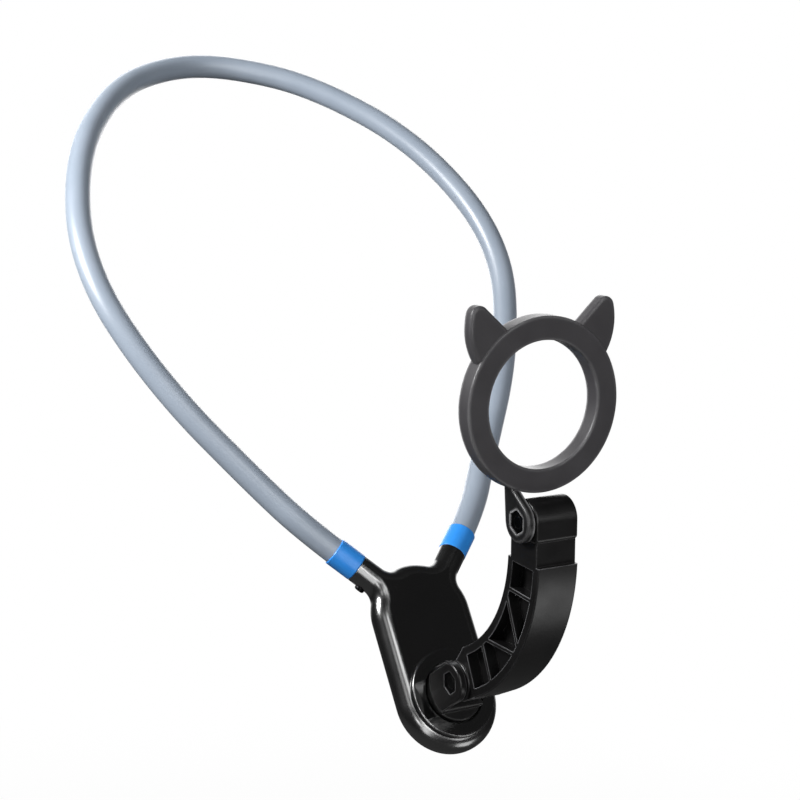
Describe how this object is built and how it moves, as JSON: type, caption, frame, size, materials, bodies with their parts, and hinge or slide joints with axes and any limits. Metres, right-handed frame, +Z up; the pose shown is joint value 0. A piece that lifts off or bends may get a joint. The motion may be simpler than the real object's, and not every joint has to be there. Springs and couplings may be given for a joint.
{
  "type": "neck-worn magnetic phone holder",
  "caption": "Neck-worn holder: a bendable loop carries a flat hub, a turntable, a curved trussed arm and a tilting magnet ring with pointed ears that grips a phone by its back.",
  "frame": {"origin": "under the neck tube at the nape, on the loop's plane of symmetry", "axes": "+X to the wearer's left, -Y forward of the wearer, +Z up"},
  "size_m": [0.1836, 0.2699, 0.2382],
  "materials": {
    "sleeve": "satin",
    "core": "drawn",
    "steel": "plain",
    "black_steel": "black oxide",
    "collar": "satin",
    "hub": "gloss",
    "cover": "satin",
    "arm": "satin",
    "ring": "satin",
    "pad": "matte",
    "magnet": "nickel plated",
    "washer": "smooth"
  },
  "bodies": {
    "neck_frame": {"neck_sleeve": "sleeve", "neck_core": "core", "ferrule_left": "steel", "ferrule_right": "steel", "collar_left": "collar", "collar_right": "collar", "hub_housing": "hub", "hub_back_cover": "cover", "back_cover_screws": "black_steel", "tube_lock_screws": "black_steel", "turntable_friction_disc": "washer"},
    "turntable": {"turntable": "arm", "turntable_spring_washer": "steel", "turntable_retaining_washer": "steel", "turntable_screw": "steel", "lower_pivot_bolt": "black_steel", "lower_pivot_nut": "black_steel"},
    "arm": {"curved_arm": "arm", "lower_friction_washer": "washer", "upper_friction_washer": "washer"},
    "magnet_ring": {"magnet_ring_body": "ring", "magnet_yoke": "steel", "ring_magnets": "magnet", "ring_face_pad": "pad", "upper_pivot_bolt": "black_steel", "upper_pivot_nut": "black_steel"}
  },
  "joints": [
    {"name": "turntable_spin", "type": "hinge", "parent": "neck_frame", "child": "turntable", "pos_m": [0, -0.2023, -0.2082], "axis": [0, -0.8387, 0.5446], "continuous": true},
    {"name": "arm_hinge", "type": "hinge", "parent": "turntable", "child": "arm", "pos_m": [0, -0.21882, -0.19747], "axis": [1, 0, 0], "range_deg": [-25, 75]},
    {"name": "ring_tilt", "type": "hinge", "parent": "arm", "child": "magnet_ring", "pos_m": [0, -0.25781, -0.13299], "axis": [1, 0, 0], "range_deg": [-75, 90]}
  ]
}
